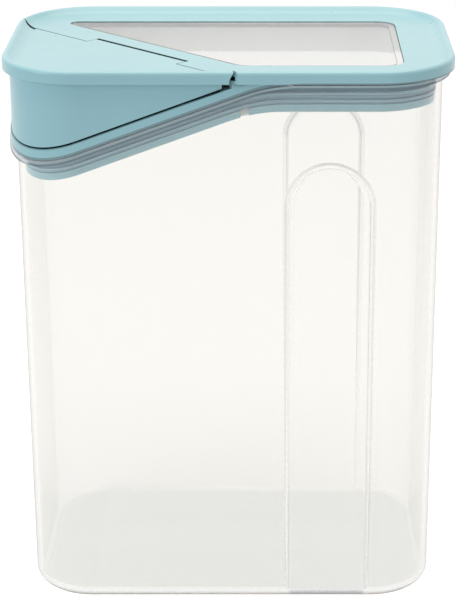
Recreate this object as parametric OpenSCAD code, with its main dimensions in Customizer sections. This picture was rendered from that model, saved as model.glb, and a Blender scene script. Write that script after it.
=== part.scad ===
// Cereal keeper: a clear container whose rim slopes down at one corner, closed by
// a lid with a clear window, a seal ring and a flip cover over the sloped corner.

/* [Overall] */
// Width across the lid rim
lid_w = 190; // [180:1:210]
// Depth across the lid rim
lid_d = 120; // [116:1:132]
// Height to the crest of the lid rim
total_h = 244; // [220:1:300]
// Corner radius of the lid rim seen from above
corner_r = 33; // [31:0.5:38]

/* [Container] */
// Distance from the lid rim in to the container wall
wall_inset = 5; // [4.8:0.1:5.6]
// Wall thickness
wall_t = 2.2; // [1.8:0.1:2.4]
// Floor thickness
floor_t = 3; // [2:0.1:5]
// How far each side draws in from the top to the foot
draft = 1; // [0.2:0.1:1.6]
// Radius of the rounded edge round the foot
foot_r = 5; // [4:0.5:8]
// How far the lip round the top stands out from the wall
lip_reach = 3; // [2:0.1:3.4]
// Lip thickness
lip_t = 1.8; // [1.2:0.1:2.4]

/* [Grip recess] */
// Width of the recess in the front and back walls
grip_w = 34; // [26:1:40]
// Distance of its middle to the right of the centre
grip_x = 42.5; // [38:0.5:44]
// Depth of the lid crest above the top of its arch
grip_drop = 43; // [38:1:70]
// Depth at the arch
grip_deep = 5.8; // [4.8:0.1:6.4]
// Depth at the foot
grip_shallow = 2; // [1.6:0.1:3]
// Radius between the floor of the recess and its sides
grip_round = 2.5; // [1:0.1:3.5]

/* [Sloped corner] */
// Angle of the hinge line from the front edge
hinge_angle = 44; // [42:0.5:47]
// Where the hinge line meets the front edge, right of the centre
hinge_x = 4.5; // [0:0.5:8]
// Fall of the sloped rim
slope = 28; // [24:0.5:30]
// Radius that blends the flat rim into the slope
blend_r = 35; // [25:1:45]

/* [Lid] */
// Height of the rim's crest above the top plate
rim_rise = 3; // [2.6:0.1:3.2]
// Radius of the rim's crest
crest_r = 1.6; // [1.4:0.1:1.9]
// Width of the rim from its edge to the top plate
rim_w = 8; // [7.6:0.1:9]
// Thickness of the top plate
plate_t = 2.2; // [2:0.1:2.6]
// Thickness of the inner skirt that carries the seal
skirt_t = 2.4; // [2.2:0.1:2.8]
// Thickness of the liner inside the skirt
liner_t = 1.2; // [0.8:0.1:1.6]
// Height of the band between the cover and the container lip
band_h = 4.3; // [3.8:0.1:5]

/* [Window] */
// Distance of the window from the back edge of the lid
window_back = 18.5; // [17:0.5:22]
// Distance of the window from the front edge of the lid
window_front = 21.5; // [20:0.5:26]
// Distance of the window from the right edge of the lid
window_right = 21.5; // [19:0.5:27]
// Distance of the slanted edge behind the hinge line
window_slant = 15.5; // [14:0.5:22]

/* [Flip cover] */
// Length of the hinge tab
tab_len = 56; // [44:1:60]
// Distance from the front end of the hinge line to the tab
tab_start = 36; // [32:1:42]
// Radius of the hinge barrel
barrel_r = 1.8; // [1.7:0.05:2]
// Radius of the moulded hinge pins
pin_r = 1; // [0.8:0.05:1.1]
// Thickness of the outer skirt
cover_t = 2.2; // [1.8:0.1:2.4]
// Gap of the seam round the cover
seam_gap = 1; // [0.8:0.1:1.2]

/* [Hidden] */
$fn = 96;
far = 300;
eps = 0.01;
// Running gap between parts that move past each other
gap = 0.35;
// Snug gap between parts that stay together
snug = 0.05;
// Gap of the hinge pins in their sockets
pin_gap = 0.05;

// Corner centres are shared by every outline, so all walls run parallel
corner_x = lid_w / 2 - corner_r;
corner_y = lid_d / 2 - corner_r;

// Levels in the flat part
plate_top = total_h - rim_rise;
plate_low = plate_top - plate_t;
bead_low = total_h - 5.4;
lip_top = bead_low - 0.9;
seam_top = bead_low - 1.1;
seal_high = lip_top - 3.1;
seal_low = seal_high - 6.2;
strip_low = seal_low - 3;

// Insets from the lid edge
lip_in = wall_inset - lip_reach;
band_in = 2.5;
cover_in = 3;
skirt_in = wall_inset + wall_t + 1.5;
groove_in = skirt_in + 1.4;
strip_in = skirt_in - 0.5;
lips_in = wall_inset + wall_t + 0.6;
liner_in = skirt_in + skirt_t + snug;

// How far the liner reaches below the strip
liner_drop = 1.1;

// Notch in the strip under the seal
notch_x = 7;
notch_w = 3.4;

// The rim is solid to this depth, and hollow in its ends at the hinge line
rim_block = 6;
rim_shell = 1.2;
rim_core = 6;
core_reach = 4.2;

// The slope: the seam plane starts at the hinge line, and the lip, the seal
// groove and the skirt turn down a little behind it, to leave room for the band
fall = tan(slope);
lip_gap = 0.4;
facet_top = seam_top - seam_gap;
facet_t = 2.4;
fold_u = -(lip_top - (facet_top - band_h - lip_gap)) / fall;

// Hinge axis, in distance in front of the hinge line and in height
axis_z = plate_top - barrel_r;
crest_rise = total_h - axis_z;
cover_edge = 0.6;
axis_u = cover_edge - crest_rise - gap;
swing_r = sqrt(pow(cover_edge - axis_u, 2) + pow(crest_rise, 2));
tab_end = tab_start + tab_len;
ear_t = 5;
pin_len = 3;
pocket_back = axis_u - barrel_r - gap;
pocket_low = axis_z - barrel_r - gap;

// Closing rib and its seal under the cover
seal_w = 3.2;
seal_h = 3.4;
seal_in = skirt_in + skirt_t;
rib_t = 1.6;
rib_in = seal_in + (seal_w - rib_t) / 2;
seal_u = 3.8;
rib_u = seal_u + (seal_w - rib_t) / 2;
rib_sink = 1.8;
mouth_in = seal_in + seal_w + 1.2;
mouth_u = seal_u + seal_w + 1.2;
mouth_start = 20;
mouth_end = 118;

// Window outline, as corners with their own rounding
slant_dir = [-cos(hinge_angle), sin(hinge_angle)];
slant_out = [-sin(hinge_angle), -cos(hinge_angle)];
slant_from = [hinge_x, -lid_d / 2] - window_slant * slant_out;
function on_slant(y) = slant_from + slant_dir * (y - slant_from[1]) / slant_dir[1];
window_x = lid_w / 2 - window_right;
window_high = lid_d / 2 - window_back;
window_low = window_front - lid_d / 2;
window_pts = [
  on_slant(window_high),
  [window_x, window_high],
  [window_x, window_low],
  on_slant(window_low)
];
window_round = [4, 8, 8, 14];
ledge = 2;
pane_step = 1.2;
pane_t = 1.6;
pane_wall = 2.8;
pane_sink = 0.3;
pane_groove = 0.35;

// Outline of the lid, moved in by a distance
module outline(inset) {
  r = corner_r - inset;
  square([2 * corner_x + 2 * r, 2 * corner_y], center = true);
  square([2 * corner_x, 2 * corner_y + 2 * r], center = true);
  for (x = [-corner_x, corner_x], y = [-corner_y, corner_y]) {
    translate([x, y]) circle(r);
  }
}

// Upright ring between two insets
module band(outer, inner, low, high) {
  translate([0, 0, low]) linear_extrude(height = high - low) difference() {
    outline(outer);
    outline(inner);
  }
}

// Sweeps a profile round the rounded outline; x runs out from the corner centres
module sweep() {
  for (x = [0, 1], y = [0, 1]) {
    mirror([x, 0, 0]) mirror([0, y, 0]) translate([corner_x, corner_y, 0])
      rotate_extrude(angle = 90) children();
  }
  for (x = [0, 1]) {
    mirror([x, 0, 0]) translate([corner_x, corner_y, 0]) rotate([90, 0, 0])
      linear_extrude(height = 2 * corner_y) children();
  }
  for (y = [0, 1]) {
    mirror([0, y, 0]) translate([-corner_x, corner_y, 0]) rotate([90, 0, 90])
      linear_extrude(height = 2 * corner_x) children();
  }
}

// Extrudes a profile along the hinge line; x runs out towards the sloped corner
// and the length runs from one place on the hinge line to another
module along_hinge(start, end) {
  translate([hinge_x, -lid_d / 2, 0]) rotate([0, 0, 270 - hinge_angle])
    translate([0, -start, 0]) rotate([90, 0, 0])
    linear_extrude(height = end - start) children();
}

// Everything below the rim line, which is flat and then slopes down
module below_rim(level) {
  turn = blend_r * tan(slope / 2);
  steps = 7;
  along_hinge(-200, 340) polygon([
    [-250, -20], [-250, level],
    for (i = [0:steps]) let (a = slope * i / steps)
      [fold_u - turn + blend_r * sin(a), level - blend_r + blend_r * cos(a)],
    [110, level - fall * (110 - fold_u)], [110, -20]
  ]);
}

// Everything below a plane that slopes down from the hinge line
module below_slope(level) {
  along_hinge(-200, 340)
    polygon([[-250, 20], [-250, far], [0, far], [0, level], [110, level - fall * 110], [110, 20]]);
}

module in_front(u) {
  along_hinge(-200, 340) translate([u, 20]) square([150, far]);
}

// Section of the plate and its rim: upright outside, with a hollow curve inside
module rim_profile() {
  crest = corner_r - crest_r;
  crest_z = total_h - crest_r;
  foot = corner_r - rim_w;
  fillet_r = (pow(rim_w - crest_r, 2) + pow(rim_rise - crest_r, 2) - pow(crest_r, 2)) / (2 * rim_rise);
  translate([0, plate_low]) square([corner_r - rim_block, plate_t]);
  translate([corner_r - rim_block, bead_low]) square([rim_block, plate_top - bead_low]);
  translate([crest - crest_r, plate_top - eps]) square([2 * crest_r, crest_z - plate_top + eps]);
  translate([crest, crest_z]) circle(crest_r);
  difference() {
    polygon([[foot, plate_top - eps], [crest, plate_top - eps], [crest, crest_z],
      [foot, plate_top + fillet_r]]);
    translate([foot, plate_top + fillet_r]) circle(fillet_r);
  }
}

// The whole flat top: plate, raised rim and the hollow under the rim
module lid_top() {
  difference() {
    union() {
      sweep() rim_profile();
      translate([0, 0, plate_low]) linear_extrude(height = plate_t)
        square([2 * corner_x, 2 * corner_y], center = true);
    }
    band(cover_in + cover_t, skirt_in, bead_low - 1, plate_top - 1);
  }
}

// Shape with rounded corners, grown by a distance; its corners run clockwise
module rounded(pts, radii, grow) {
  n = len(pts);
  steps = 8;
  unit = function(v) v / norm(v);
  toward = function(i, k) unit(pts[(i + k + n) % n] - pts[i]);
  centre = function(i) let (a = toward(i, -1), b = toward(i, 1), m = unit(a + b))
    pts[i] + m * radii[i] / abs(a[0] * m[1] - a[1] * m[0]);
  from = function(i) let (a = toward(i, -1)) atan2(-a[0], a[1]);
  to = function(i) let (b = toward(i, 1)) atan2(b[0], -b[1]);
  turn = function(i) let (d = to(i) - from(i)) d > 0 ? d - 360 : d;
  polygon([for (i = [0:n - 1], k = [0:steps]) let (a = from(i) + turn(i) * k / steps)
    centre(i) + (radii[i] + grow) * [cos(a), sin(a)]]);
}

module window_shape(grow) {
  rounded(window_pts, window_round, grow);
}

// Half of the recess across, x out from its middle and y out from its floor
module grip_profile(grow) {
  half = grip_w / 2 + grow;
  round = grip_round + grow;
  reach = 12 + grow;
  square([half - round, reach]);
  translate([0, round]) square([half, reach - round]);
  translate([half - round, round]) circle(round);
}

module grip_cut(grow) {
  arch_z = total_h - grip_drop - grip_w / 2;
  wall_y = lid_d / 2 - wall_inset;
  foot_y = wall_y - draft - grip_shallow;
  arch_y = wall_y - grip_deep;
  lean = atan((foot_y - arch_y) / arch_z);
  for (side = [0, 1]) {
    mirror([0, side, 0]) translate([grip_x, -foot_y + grow, 0]) rotate([90 - lean, 0, 0])
      translate([0, arch_z, 0]) {
        rotate_extrude(angle = 180) grip_profile(grow);
        for (half = [0, 1]) {
          mirror([half, 0, 0]) rotate([90, 0, 0]) linear_extrude(height = arch_z + 20) grip_profile(grow);
        }
      }
  }
}

module wall_profile(thick, low, edge, high) {
  top_r = corner_r - wall_inset - thick;
  foot = top_r - draft;
  polygon([[0, low], [foot - edge, low], [foot - edge, low + edge], [foot, low + edge],
    [top_r, high], [0, high]]);
  translate([foot - edge, low + edge]) circle(edge);
}

module container_shell(thick, low, edge, high) {
  intersection() {
    sweep() difference() {
      wall_profile(thick, low, edge, high);
      translate([-far, 0]) square([far, far]);
    }
    translate([-far / 2, -far / 2, 0]) cube([far, far, high]);
  }
  translate([0, 0, low]) linear_extrude(height = high - low)
    square([2 * corner_x, 2 * corner_y], center = true);
}

module container_body() {
  color([0.85, 0.9, 0.9, 0.35]) intersection() {
    union() {
      difference() {
        container_shell(0, 0, foot_r, total_h);
        grip_cut(0);
        difference() {
          container_shell(wall_t, floor_t, foot_r - wall_t, total_h + 1);
          grip_cut(wall_t);
        }
      }
      difference() {
        band(lip_in, wall_inset + wall_t / 2, 120, total_h);
        below_rim(lip_top - lip_t);
      }
    }
    below_rim(lip_top);
  }
}

module lid_frame() {
  color([0.62, 0.83, 0.84]) difference() {
    union() {
      difference() {
        lid_top();
        in_front(0);
      }
      intersection() {
        difference() {
          band(band_in, skirt_in + 1, 150, bead_low + 0.5);
          below_rim(lip_top + lip_gap);
        }
        below_slope(facet_top);
      }
      intersection() {
        difference() {
          union() {
            band(skirt_in, skirt_in + skirt_t, 150, plate_top - 0.5);
            band(strip_in, skirt_in + skirt_t, 150, seal_low);
          }
          below_rim(strip_low);
        }
        below_slope(facet_top);
      }
      facet();
      hinge_bed();
    }
    intersection() {
      difference() {
        band(strip_in - 1, groove_in, 150, total_h);
        below_rim(seal_low);
      }
      below_rim(seal_high);
    }
    translate([0, 0, plate_low - 1]) linear_extrude(height = plate_t + 5) window_shape(0);
    hinge_pocket();
    rim_hollow();
    strip_notch();
  }
}

// Room inside the ends of the frame's rim, open towards the cover
module rim_hollow() {
  inner = cover_in + cover_t + 0.5;
  high_low = bead_low + rim_shell;
  intersection() {
    sweep() {
      translate([corner_r - core_reach, high_low])
        square([core_reach - rim_shell, plate_top + 0.6 - high_low]);
      translate([corner_r - inner, facet_top])
        square([inner - band_in - rim_shell, plate_top - 0.9 - facet_top]);
    }
    along_hinge(-200, 340) translate([-rim_core, 20]) square([rim_core + 1, far]);
  }
}

module strip_notch() {
  intersection() {
    translate([notch_x - notch_w / 2, strip_in - lid_d / 2 - 1, 150])
      cube([notch_w, skirt_in + skirt_t - strip_in + 1 + eps, total_h - 150]);
    below_rim(seal_low + 0.2);
  }
}

// Pale liner inside the skirt, seen through the window and behind the notch
module skirt_liner() {
  color([0.86, 0.87, 0.86]) difference() {
    intersection() {
      band(liner_in, liner_in + liner_t, 150, total_h);
      along_hinge(-200, 340) polygon([
        [-250, 20], [-250, plate_low - snug], [-skirt_t - snug, plate_low - snug],
        [-skirt_t - snug, facet_top - facet_t - snug], [0, facet_top - facet_t - snug],
        [110, facet_top - facet_t - snug - fall * 110], [110, 20]
      ]);
    }
    below_rim(strip_low - liner_drop);
  }
}

// Sloped plate under the cover, with the mouth that the cereal pours through
module facet() {
  difference() {
    intersection() {
      translate([0, 0, 150]) linear_extrude(height = total_h - 150) outline(skirt_in + 0.5);
      along_hinge(-200, 340) polygon([
        [-skirt_t, plate_top - 0.5], [-skirt_t, facet_top - facet_t], [0, facet_top - facet_t],
        [110, facet_top - facet_t - fall * 110], [110, facet_top - fall * 110], [0, facet_top],
        [0, plate_top - 0.5]
      ]);
    }
    intersection() {
      translate([0, 0, 100]) linear_extrude(height = total_h) outline(mouth_in);
      along_hinge(mouth_start, mouth_end) translate([mouth_u, 20]) square([150, far]);
    }
  }
}

module hinge_bed() {
  along_hinge(tab_start - ear_t, tab_end + ear_t)
    translate([pocket_back - 2, pocket_low - 2]) square([-pocket_back + 2, plate_top - pocket_low + 2]);
}

module hinge_pocket() {
  along_hinge(tab_start - gap, tab_end + gap)
    translate([pocket_back, pocket_low]) square([20, far]);
  along_hinge(tab_start - pin_len - 0.3, tab_end + pin_len + 0.3)
    translate([axis_u, axis_z]) circle(pin_r + pin_gap);
}

// Clear pane with a thicker edge, clipped into the frame from below
module window_pane() {
  pane_top = plate_top - pane_sink;
  pane_low = plate_low - pane_step;
  color([0.88, 0.94, 0.94, 0.4]) difference() {
    union() {
      translate([0, 0, pane_low]) linear_extrude(height = pane_top - pane_low) window_shape(-pane_groove);
      translate([0, 0, pane_low]) linear_extrude(height = pane_top - pane_low - 0.5) window_shape(-snug);
      translate([0, 0, pane_low]) linear_extrude(height = pane_step) window_shape(ledge);
    }
    translate([0, 0, 150]) linear_extrude(height = pane_top - pane_t - 150) window_shape(-pane_wall);
  }
}

module main_seal() {
  color([0.75, 0.78, 0.78]) union() {
    seal_ring(skirt_in - 0.2, seal_low + snug, seal_high - snug);
    seal_ring(lips_in, seal_high - 2.2, seal_high - 1);
    seal_ring(lips_in, seal_low + 1, seal_low + 2.2);
  }
}

module seal_ring(outer, low, high) {
  intersection() {
    difference() {
      band(outer, groove_in - snug, 150, total_h);
      below_rim(low);
    }
    below_rim(high);
  }
}

module flip_cover() {
  color([0.62, 0.83, 0.84]) union() {
    difference() {
      union() {
        intersection() {
          lid_top();
          in_front(cover_edge);
        }
        intersection() {
          difference() {
            band(cover_in, cover_in + cover_t, 150, bead_low + 0.5);
            below_slope(seam_top);
          }
          in_front(cover_edge);
        }
      }
      cover_relief();
    }
    difference() {
      cover_rib();
      below_slope(facet_top + gap + rib_sink);
    }
    hinge_tab();
  }
}

// Rib that closes round the mouth and carries the cover seal
module cover_rib() {
  difference() {
    intersection() {
      translate([0, 0, 150]) linear_extrude(height = plate_low + 0.5 - 150) outline(rib_in);
      in_front(rib_u);
    }
    intersection() {
      translate([0, 0, 149]) linear_extrude(height = total_h) outline(rib_in + rib_t);
      in_front(rib_u + rib_t);
    }
  }
}

// Room for the rim of the frame as the cover swings up
module cover_relief() {
  difference() {
    along_hinge(-200, 340) union() {
      translate([axis_u, axis_z]) circle(swing_r);
      translate([-20, 20]) square([20 + axis_u + swing_r, axis_z - 20]);
    }
    translate([0, 0, 100]) linear_extrude(height = total_h) outline(rim_w);
  }
}

module hinge_tab() {
  along_hinge(tab_start, tab_end) {
    translate([axis_u, axis_z]) circle(barrel_r);
    translate([axis_u, plate_low]) square([cover_edge + 2 - axis_u, plate_t]);
  }
  along_hinge(tab_start - pin_len, tab_end + pin_len)
    translate([axis_u, axis_z]) circle(pin_r);
}

module cover_seal() {
  color([0.75, 0.78, 0.78]) difference() {
    intersection() {
      cover_seal_area(seal_in, seal_u);
      below_slope(facet_top + gap + seal_h);
    }
    below_slope(facet_top + gap);
    cover_seal_area(seal_in + seal_w, seal_u + seal_w);
    difference() {
      difference() {
        cover_seal_area(rib_in - snug, rib_u - snug);
        cover_seal_area(rib_in + rib_t + snug, rib_u + rib_t + snug);
      }
      below_slope(facet_top + gap + rib_sink - snug);
    }
  }
}

module cover_seal_area(inset, u) {
  intersection() {
    translate([0, 0, 150]) linear_extrude(height = total_h - 150) outline(inset);
    in_front(u);
  }
}

container_body();
lid_frame();
skirt_liner();
window_pane();
main_seal();
flip_cover();
cover_seal();
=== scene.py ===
import math

import bpy
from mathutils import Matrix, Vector

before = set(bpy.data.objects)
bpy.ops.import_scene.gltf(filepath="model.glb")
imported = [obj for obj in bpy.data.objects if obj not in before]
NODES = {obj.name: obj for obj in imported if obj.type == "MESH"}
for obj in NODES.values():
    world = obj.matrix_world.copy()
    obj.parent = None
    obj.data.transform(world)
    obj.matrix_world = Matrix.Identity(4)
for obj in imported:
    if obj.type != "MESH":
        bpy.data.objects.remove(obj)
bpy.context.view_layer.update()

bl_info = {
    "name": "Cereal keeper with flip cover",
    "version": (1, 0, 0),
    "blender": (4, 5, 0),
    "location": "3D View > Sidebar > Keeper",
    "description": "Dresses a clear cereal keeper: clear mouldings, lid, seals and studio",
    "category": "Object",
}

# As the part is built, in metres: the hinge line's turn from the front and its place there, how steeply
# the rim falls beyond it, and the fold where the fall begins, ahead of the line, with its radius
HINGE_ANGLE = math.radians(44)
HINGE_FRONT = (0.0045, -0.06)
SLOPE = math.radians(28)
FOLD = -0.011096
FOLD_RADIUS = 0.035

# Heights on the level part of the rim
LIP_TOP = 0.2377
SEAL_TOP = 0.2346
COVER_SEAM = 0.2429

# How tall the stretches of painted light are: the lip's painted highlight, the painted shade at the
# container's foot and at the band's foot
LIP_EDGE = 0.0009
FOOT_SHADE_SPAN = (0.0008, 0.0048)
BAND_FOOT = 0.0015

# Colours of painted shade (below the seal, at the band's foot, in the lip's groove, at the container's
# foot, on edge-on faces and the pane's rims) and of the lip's painted highlight, and the share of each
# that is mixed in
SHADE_SLATE = (0.46, 0.54, 0.57)
SHADE_BELOW_SEAL = 0.6
SHADE_AT_BAND_FOOT = 0.75
GROOVE_SHADE_SLATE = (0.545, 0.62, 0.67)
GROOVE_SHADE_SHARE = 0.65
LIP_HIGHLIGHT = (0.80, 0.86, 0.89)
LIP_HIGHLIGHT_SHARE = 0.6
FOOT_SHADE_GREY = (0.42, 0.4, 0.42)
FOOT_SHADE_SHARE = 0.7
EDGE_SHADE_GREY = (0.1, 0.11, 0.13, 1.0)
EDGE_SHADE_SHARE = 0.6
PANE_RIM_SHADE_SHARE = 0.55

# Painted shade in narrow gaps: how far the open sky is looked for, how much of it counts as dark and as
# lit, and how dark the shade is painted
GAP_REACH = 0.008
GAP_SKY = (0.15, 0.62)
SEAM_SKY = (0.3, 0.9)
SEAM_HALF_HEIGHT = (0.0010, 0.0016)
LIP_GAP_SHARE = 0.3
GAP_SHADE_TONE = 0.015

# Soft ends of the toned stretches, and how far past the lip's top its tone is let run
RAMP = 0.00025
SOFT_END = 0.0001
LIP_SPARE = 0.001

# A face whose normal leans up or down by less than the first is upright, by more than the second flat
UPRIGHT = (0.3, 0.7)

# Darkest and palest tone of the flow clouds and of the silicone's streaks, as shares of the colour
CLOUD_TONES = (0.965, 1.03)
STREAK_TONES = (0.68, 1.2)

# How fine the silicone's streaks are along the ring and across it, per metre
STREAKS_ALONG = 14.0
STREAKS_ACROSS = 1300.0

# Rays that are deeper than this go straight through clear plastic
CLEAR_DEPTH = 3.0

WHITE = (1.0, 1.0, 1.0, 1.0)
FLOOR_REACH = 1.1
FLOOR_GLOW = 0.6
ROOM_COLOUR = (0.86, 0.95, 1.0, 1.0)
ROOM_LIGHT = 0.42
WARM = (1.0, 0.84, 0.71)
COOL = (0.8, 0.94, 1.0)

# Each lamp's name, place, target, size, power and colour
LAMPS = (
    ("overhead", (0.0, 0.1, 2.0), (0, 0, 0.2), (2.2, 2.0), 31.0, WARM),
    ("left_fill", (-1.3, -0.9, 0.7), (0, 0, 0.15), (0.9, 0.9), 5.5, COOL),
    ("right_fill", (1.3, -0.9, 0.7), (0, 0, 0.15), (0.9, 0.9), 1.0, COOL),
)

CAMERA_PLACE = (0.0173, -0.838, 0.4481)
CAMERA_SHIFT = (-0.0696, -0.1193)
SENSOR_WIDTH = 36.0


class Sock:
    """A shader value that adds Math nodes when it is used in an expression."""

    def __init__(self, tree, out):
        self.tree = tree
        self.out = out

    def _math(self, operation, *values):
        node = self.tree.nodes.new("ShaderNodeMath")
        node.operation = operation
        for i, value in enumerate(values):
            if isinstance(value, Sock):
                self.tree.links.new(value.out, node.inputs[i])
            else:
                node.inputs[i].default_value = value
        return Sock(self.tree, node.outputs[0])

    def __add__(self, other):
        return self._math("ADD", self, other)

    def __radd__(self, other):
        return self._math("ADD", other, self)

    def __sub__(self, other):
        return self._math("SUBTRACT", self, other)

    def __rsub__(self, other):
        return self._math("SUBTRACT", other, self)

    def __mul__(self, other):
        return self._math("MULTIPLY", self, other)

    def __rmul__(self, other):
        return self._math("MULTIPLY", other, self)

    def __pow__(self, other):
        return self._math("POWER", self, other)

    def __rpow__(self, other):
        return self._math("POWER", other, self)

    def most(self, other):
        return self._math("MAXIMUM", self, other)

    def least(self, other):
        return self._math("MINIMUM", self, other)


class Shader:
    """A material's or world's node tree, built by one call for each node."""

    def __init__(self, owner):
        owner.use_nodes = True
        self.tree = owner.node_tree
        self.tree.nodes.clear()

    def node(self, kind, settings=None, **links):
        """A node with its settings, then with the values or links of its sockets."""
        made = self.tree.nodes.new(kind)
        for key, value in (settings or {}).items():
            setattr(made, key, value)
        for name, value in links.items():
            socket = self.socket(made, name.replace("_", " "))
            if isinstance(value, Sock):
                self.tree.links.new(value.out, socket)
            else:
                socket.default_value = value
        return made

    def socket(self, made, name):
        for socket in made.inputs:
            if socket.name.lower() == name.lower() and socket.enabled:
                return socket
        raise KeyError(f"{made.bl_idname} has no socket named {name!r}")

    def out(self, made, name=None):
        if name is None:
            return Sock(self.tree, next(s for s in made.outputs if s.enabled))
        return Sock(self.tree, made.outputs[name])

    def value(self, kind, settings=None, out=None, **links):
        """A new node's output, by its name or else the first one."""
        return self.out(self.node(kind, settings, **links), out)

    def place(self):
        return self.value("ShaderNodeTexCoord", out="Object")

    def axes(self, vector, wanted="XYZ"):
        parts = self.node("ShaderNodeSeparateXYZ", Vector=vector)
        return [self.out(parts, axis) for axis in wanted]

    def noise(self, scale, detail, where=None):
        return self.value(
            "ShaderNodeTexNoise", out="Fac", Vector=where or self.place(),
            Scale=scale, Detail=detail, Roughness=0.5,
        )

    def smooth(self, value, low, high):
        """Rises softly from nought at the low value to one at the high value."""
        return self.value(
            "ShaderNodeMapRange", {"interpolation_type": "SMOOTHSTEP"},
            Value=value, From_Min=low, From_Max=high,
        )

    def mix(self, factor, first, second):
        return self.value("ShaderNodeMix", {"data_type": "RGBA"}, Factor=factor, A=first, B=second)

    def diffuse(self, colour):
        return self.value("ShaderNodeBsdfDiffuse", Color=colour)

    def joined(self, kind, *values):
        """A node whose inputs share a name, so that they are linked in their order."""
        made = self.tree.nodes.new(kind)
        for socket, value in zip(made.inputs, values):
            self.tree.links.new(value.out, socket)
        return self.out(made)

    def blend(self, factor, first, second):
        return self.joined("ShaderNodeMixShader", factor, first, second)

    def ray(self, name):
        return self.value("ShaderNodeLightPath", out=name)

    def seen(self):
        """One for camera rays and for what they see in gloss or through clear plastic."""
        beyond = self.ray("Is Glossy Ray").most(self.ray("Is Transmission Ray"))
        return self.ray("Is Camera Ray").most(beyond)

    def surface(self, shader):
        self.node("ShaderNodeOutputMaterial", Surface=shader)


def new_material(name):
    material = bpy.data.materials.new(name)
    return material, Shader(material)


def linear(colour):
    """Turns a colour from a picker's scale to the shader's."""
    return tuple(c / 12.92 if c <= 0.04045 else ((c + 0.055) / 1.055) ** 2.4 for c in colour)


def shade(colour, factor=1.0):
    """A picker's colour for a shader's socket, made darker or lighter by the factor."""
    return tuple(min(1.0, c * factor) for c in linear(colour)) + (1.0,)


def dress(node, material):
    """Gives a CAD node's object its material."""
    mesh = NODES[node].data
    mesh.materials.clear()
    mesh.materials.append(material)


class KeeperPlastic(bpy.types.PropertyGroup):
    """Colours and finish of the lid's mouldings."""

    lid_colour: bpy.props.FloatVectorProperty(
        name="Lid colour", description="Colour of the lid frame and the cover", subtype="COLOR_GAMMA",
        size=3, min=0, max=1, default=(0.655, 0.845, 0.885),
    )
    liner_colour: bpy.props.FloatVectorProperty(
        name="Liner colour", description="Colour of the liner inside the skirt", subtype="COLOR_GAMMA",
        size=3, min=0, max=1, default=(0.88, 0.885, 0.88),
    )
    lid_roughness: bpy.props.FloatProperty(
        name="Lid roughness", description="Roughness of the lid frame and the cover",
        min=0.05, max=1, default=0.3,
    )
    liner_roughness: bpy.props.FloatProperty(
        name="Liner roughness", description="Roughness of the liner", min=0.05, max=1, default=0.5,
    )


class KeeperClear(bpy.types.PropertyGroup):
    """The clear mouldings and the silicone."""

    tint: bpy.props.FloatVectorProperty(
        name="Tint", description="Tint of the clear plastic", subtype="COLOR_GAMMA",
        size=3, min=0, max=1, default=(0.956, 0.957, 0.953),
    )
    index: bpy.props.FloatProperty(
        name="Refraction", description="Refractive index of the clear plastic",
        min=1.3, max=1.7, default=1.5,
    )
    silicone: bpy.props.FloatVectorProperty(
        name="Silicone", description="Colour of the seals", subtype="COLOR_GAMMA",
        size=3, min=0, max=1, default=(0.55, 0.665, 0.72),
    )


class KeeperStage(bpy.types.PropertyGroup):
    """The studio round the keeper."""

    lens: bpy.props.FloatProperty(
        name="Lens", description="Focal length", subtype="DISTANCE_CAMERA",
        min=20, max=200, default=119.257,
    )
    tilt: bpy.props.FloatProperty(
        name="Tilt", description="How far the camera looks down", subtype="ANGLE",
        min=0, max=1.2, default=math.radians(19.2),
    )
    floor_grey: bpy.props.FloatProperty(
        name="Floor", description="Brightness of the floor", min=0, max=1, default=0.6,
    )


def rim_height(sh):
    """Height as it would be if the rim's fall were straightened out: level, rounded, then sloping."""
    x, y, z = sh.axes(sh.place())
    across = (x - HINGE_FRONT[0]) * -math.sin(HINGE_ANGLE)
    ahead = across + (y - HINGE_FRONT[1]) * -math.cos(HINGE_ANGLE)
    start = FOLD - FOLD_RADIUS * math.tan(SLOPE / 2)
    along = (ahead - start).most(0.0).least(FOLD_RADIUS * math.sin(SLOPE))
    rounded = FOLD_RADIUS - (FOLD_RADIUS**2 - along * along) ** 0.5
    return z + rounded.most((ahead - FOLD) * math.tan(SLOPE))


def spread(value, start, gain):
    """Nought where the value is at the start, and steeper or flatter from there by the gain."""
    return (value - start) * gain


def above(height, level):
    """One above a level and nought below it, with a short ramp over the level."""
    return ((height - level) * (1.0 / RAMP)).most(0.0).least(1.0)


def between(sh, height, low, high):
    """One from the low height to the high one, with soft ends."""
    risen = sh.smooth(height, low - SOFT_END, low + SOFT_END)
    past = sh.smooth(height, high - SOFT_END, high + SOFT_END)
    return risen * (1.0 - past)


def gap_shade(sh, height):
    """How much painted shade: nothing on open faces, up to one deep in narrow gaps, less beside the
    container's lip.
    """
    open_sky = sh.value("ShaderNodeAmbientOcclusion", {"samples": 8}, out="AO", Distance=GAP_REACH)
    lit = sh.smooth(open_sky, *GAP_SKY)
    off_seam = (height - COVER_SEAM).most(COVER_SEAM - height)
    seam = 1.0 - sh.smooth(off_seam, *SEAM_HALF_HEIGHT)
    lit = lit.least(1.0 - seam * (1.0 - sh.smooth(open_sky, *SEAM_SKY)))
    return (1.0 - lit) * above(height, LIP_TOP).most(above(height, SEAL_TOP) * LIP_GAP_SHARE)


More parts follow.
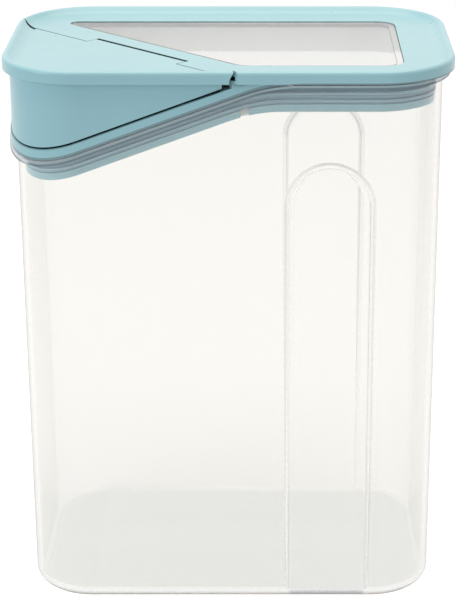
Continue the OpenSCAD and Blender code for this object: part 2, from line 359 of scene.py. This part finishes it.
def moulded(name, colour, roughness, gaps=True):
    """Satin moulded plastic: faint flow clouds, a fine spark-eroded texture and soft gloss changes, and,
    where asked, painted shade below the seal, at the band's foot and in narrow gaps.
    """
    material, sh = new_material(name)
    cloud = sh.noise(scale=22.0, detail=3.0)
    fine = sh.noise(scale=2600.0, detail=2.0)
    patch = sh.noise(scale=140.0, detail=4.0)
    pale = spread(cloud, start=0.35, gain=1.6)
    tone = sh.mix(pale, *(shade(colour, part) for part in CLOUD_TONES))
    if gaps:
        height = rim_height(sh)
        # Painted shade: slate mixed in below the seal and along the band's foot over the lip
        under_seal_shade = (1.0 - above(height, SEAL_TOP)) * SHADE_BELOW_SEAL
        band_foot_shade = between(sh, height, LIP_TOP, LIP_TOP + BAND_FOOT) * SHADE_AT_BAND_FOOT
        tone = sh.mix(under_seal_shade.most(band_foot_shade), tone, shade(SHADE_SLATE))
    gloss = roughness + spread(patch, start=0.5, gain=0.12)
    bump = sh.value("ShaderNodeBump", Strength=0.10, Distance=0.00008, Height=fine)
    body = sh.value(
        "ShaderNodeBsdfPrincipled", Base_Color=tone, Roughness=gloss,
        IOR=1.49, Coat_Weight=0.25, Coat_Roughness=0.12, Normal=bump,
    )
    if gaps:
        # Painted shade: a nearly black diffuse mixed in where gaps and the cover's seam are narrow
        body = sh.blend(gap_shade(sh, height), body, sh.diffuse(shade(colour, GAP_SHADE_TONE)))
    sh.surface(body)
    return material


def clear_plastic(name, look, edge_power, painted_light):
    """Clear moulding: nearly colourless and faintly rippled, with grey painted shade where it is edge-on
    and the painted light it is given.
    """
    material, sh = new_material(name)
    ripple = sh.noise(scale=28.0, detail=2.0)
    patch = sh.noise(scale=90.0, detail=3.0)
    bump = sh.value("ShaderNodeBump", Strength=0.03, Distance=0.0004, Height=ripple)
    body = sh.value(
        "ShaderNodeBsdfPrincipled", Base_Color=shade(look.tint), Roughness=0.012 + patch * 0.02,
        IOR=look.index, Transmission_Weight=1.0, Normal=bump,
    )
    # Painted shade: grey on faces seen edge-on, for camera rays only
    edge_on_shade = sh.value("ShaderNodeLayerWeight", out="Facing", Blend=0.5) ** edge_power
    edge_on_shade = edge_on_shade * EDGE_SHADE_SHARE * sh.ray("Is Camera Ray")
    body = painted_light(sh, sh.blend(edge_on_shade, body, sh.diffuse(EDGE_SHADE_GREY)))
    deep = (sh.ray("Ray Depth") - CLEAR_DEPTH).most(0.0).least(1.0)
    clear = sh.value("ShaderNodeBsdfTransparent", Color=shade(look.tint))
    sh.surface(sh.blend(sh.ray("Is Shadow Ray").most(deep), body, clear))
    return material


def lip_and_foot(sh, body):
    """A painted highlight on the lip's edge over painted shade in the seal's groove, and painted shade at
    the container's foot.
    """
    direct = sh.ray("Is Camera Ray")
    height = rim_height(sh)
    groove = between(sh, height, SEAL_TOP, LIP_TOP - LIP_EDGE)
    edge = between(sh, height, LIP_TOP - LIP_EDGE, LIP_TOP + LIP_SPARE)
    (z,) = sh.axes(sh.place(), "Z")
    foot = 1.0 - sh.smooth(z, *FOOT_SHADE_SPAN)
    # Painted shade over the seal's groove, seen through the lip, for camera rays only
    body = sh.blend(groove * GROOVE_SHADE_SHARE * direct, body, sh.diffuse(shade(GROOVE_SHADE_SLATE)))
    # Painted highlight on the lip's edge, for camera rays only
    body = sh.blend(edge * LIP_HIGHLIGHT_SHARE * direct, body, sh.diffuse(shade(LIP_HIGHLIGHT)))
    # Painted shade at the container's foot, for camera rays only
    return sh.blend(foot * FOOT_SHADE_SHARE * direct, body, sh.diffuse(shade(FOOT_SHADE_GREY)))


def pane_rims(sh, body):
    """Painted shade: the upright rims of the flat pane show as grey lines."""
    (z,) = sh.axes(sh.value("ShaderNodeNewGeometry", out="Normal"), "Z")
    upright = 1.0 - sh.smooth(z.most(0.0 - z), *UPRIGHT)
    return sh.blend(upright * PANE_RIM_SHADE_SHARE, body, sh.diffuse(EDGE_SHADE_GREY))


def silicone(name, colour):
    """Translucent silicone: milky, with long streaks along the ring and a little dust."""
    material, sh = new_material(name)
    x, y = sh.axes(sh.place(), "XY")
    long_way = sh.value(
        "ShaderNodeCombineXYZ", X=x * STREAKS_ALONG, Y=y * STREAKS_ALONG,
        Z=rim_height(sh) * STREAKS_ACROSS,
    )
    streak = sh.noise(scale=1.0, detail=2.0, where=long_way)
    dust = sh.noise(scale=900.0, detail=3.0)
    pale = spread(streak, start=0.32, gain=2.6)
    tone = sh.mix(pale, *(shade(colour, part) for part in STREAK_TONES))
    bump = sh.value("ShaderNodeBump", Strength=0.25, Distance=0.0002, Height=streak + dust * 0.3)
    body = sh.value(
        "ShaderNodeBsdfPrincipled", Base_Color=tone, Roughness=0.4 + dust * 0.2, IOR=1.41,
        Subsurface_Weight=0.3, Subsurface_Scale=0.002, Normal=bump,
    )
    sh.surface(body)
    return material


class KeeperOperator(bpy.types.Operator):
    """Base for the operators that dress the keeper."""

    bl_options = {"REGISTER", "UNDO"}


class KEEPER_OT_container(KeeperOperator):
    """Clear container"""

    bl_idname = "keeper.container"
    bl_label = "Container"

    def execute(self, context):
        look = context.scene.keeper_clear
        dress("container_body", clear_plastic("clear_container", look, edge_power=5.0, painted_light=lip_and_foot))
        return {"FINISHED"}


class KEEPER_OT_lid(KeeperOperator):
    """Lid frame, its liner and its window pane"""

    bl_idname = "keeper.lid"
    bl_label = "Lid"

    def execute(self, context):
        look = context.scene.keeper_plastic
        dress("lid_frame", moulded("aqua_lid", look.lid_colour, look.lid_roughness))
        liner = moulded("pale_liner", look.liner_colour, look.liner_roughness, gaps=False)
        dress("skirt_liner", liner)
        clear = context.scene.keeper_clear
        dress("window_pane", clear_plastic("clear_pane", clear, edge_power=10.0, painted_light=pane_rims))
        return {"FINISHED"}


class KEEPER_OT_cover(KeeperOperator):
    """Flip cover"""

    bl_idname = "keeper.cover"
    bl_label = "Flip cover"

    def execute(self, context):
        look = context.scene.keeper_plastic
        dress("flip_cover", moulded("aqua_cover", look.lid_colour, look.lid_roughness))
        return {"FINISHED"}


class KEEPER_OT_seals(KeeperOperator):
    """Seal rings"""

    bl_idname = "keeper.seals"
    bl_label = "Seals"

    def execute(self, context):
        seal = silicone("milky_silicone", context.scene.keeper_clear.silicone)
        dress("main_seal", seal)
        dress("cover_seal", seal)
        return {"FINISHED"}


def area_light(name, place, target, size, power, colour):
    light = bpy.data.lights.new(name, "AREA")
    light.color = colour
    light.shape = "RECTANGLE"
    light.size, light.size_y = size
    light.energy = power
    lamp = bpy.data.objects.new(name, light)
    lamp.location = place
    lamp.rotation_mode = "QUATERNION"
    lamp.rotation_quaternion = (Vector(place) - Vector(target)).to_track_quat("Z", "Y")
    bpy.context.scene.collection.objects.link(lamp)


class KEEPER_OT_stage(KeeperOperator):
    """Floor, light, background and camera"""

    bl_idname = "keeper.stage"
    bl_label = "Stage"

    def execute(self, context):
        look = context.scene.keeper_stage
        self.floor(look.floor_grey)
        self.background()
        for lamp in LAMPS:
            area_light(*lamp)
        self.camera(look)
        return {"FINISHED"}

    def floor(self, grey):
        mesh = bpy.data.meshes.new("floor")
        corners = [(-1, -1), (1, -1), (1, 1), (-1, 1)]
        mesh.from_pydata([(x * FLOOR_REACH, y * FLOOR_REACH, 0) for x, y in corners], [], [(0, 1, 2, 3)])
        floor = bpy.data.objects.new("floor", mesh)
        bpy.context.scene.collection.objects.link(floor)
        material, sh = new_material("pale_floor")
        paper = sh.diffuse((grey, grey, grey, 1.0))
        glow = sh.value("ShaderNodeEmission", Color=WHITE, Strength=FLOOR_GLOW)
        sh.surface(sh.blend(sh.seen(), paper, sh.joined("ShaderNodeAddShader", paper, glow)))
        mesh.materials.append(material)

    def background(self):
        """White where it is seen, and a dimmer, cooler room for the light on the object."""
        world = bpy.data.worlds.new("studio")
        bpy.context.scene.world = world
        sh = Shader(world)
        room = sh.value("ShaderNodeBackground", Color=ROOM_COLOUR, Strength=ROOM_LIGHT)
        white = sh.value("ShaderNodeBackground", Color=WHITE, Strength=1.0)
        sh.node("ShaderNodeOutputWorld", Surface=sh.blend(sh.seen(), room, white))

    def camera(self, look):
        data = bpy.data.cameras.new("camera")
        data.lens = look.lens
        data.sensor_width = SENSOR_WIDTH
        data.sensor_fit = "AUTO"
        data.shift_x, data.shift_y = CAMERA_SHIFT
        camera = bpy.data.objects.new("camera", data)
        camera.location = CAMERA_PLACE
        camera.rotation_euler = (math.radians(90) - look.tilt, 0, 0)
        bpy.context.scene.collection.objects.link(camera)
        bpy.context.scene.camera = camera
        bpy.context.scene.view_settings.view_transform = "Standard"


OPERATORS = (KEEPER_OT_container, KEEPER_OT_lid, KEEPER_OT_cover, KEEPER_OT_seals, KEEPER_OT_stage)
GROUPS = (("keeper_plastic", KeeperPlastic), ("keeper_clear", KeeperClear), ("keeper_stage", KeeperStage))


class KEEPER_PT_panel(bpy.types.Panel):
    """Lists the keeper's pieces and their settings"""

    bl_idname = "KEEPER_PT_panel"
    bl_label = "Cereal keeper"
    bl_space_type = "VIEW_3D"
    bl_region_type = "UI"
    bl_category = "Keeper"

    def draw(self, context):
        layout = self.layout
        for name, group in GROUPS:
            settings = getattr(context.scene, name)
            for key in group.__annotations__:
                layout.prop(settings, key)
        for operator in OPERATORS:
            layout.operator(operator.bl_idname)


def register():
    for name, group in GROUPS:
        bpy.utils.register_class(group)
        setattr(bpy.types.Scene, name, bpy.props.PointerProperty(type=group))
    for operator in OPERATORS:
        bpy.utils.register_class(operator)
    bpy.utils.register_class(KEEPER_PT_panel)


def unregister():
    bpy.utils.unregister_class(KEEPER_PT_panel)
    for operator in reversed(OPERATORS):
        bpy.utils.unregister_class(operator)
    for name, group in reversed(GROUPS):
        delattr(bpy.types.Scene, name)
        bpy.utils.unregister_class(group)


def main():
    register()
    bpy.ops.keeper.container()
    bpy.ops.keeper.lid()
    bpy.ops.keeper.cover()
    bpy.ops.keeper.seals()
    bpy.ops.keeper.stage()


if __name__ == "__main__":
    main()
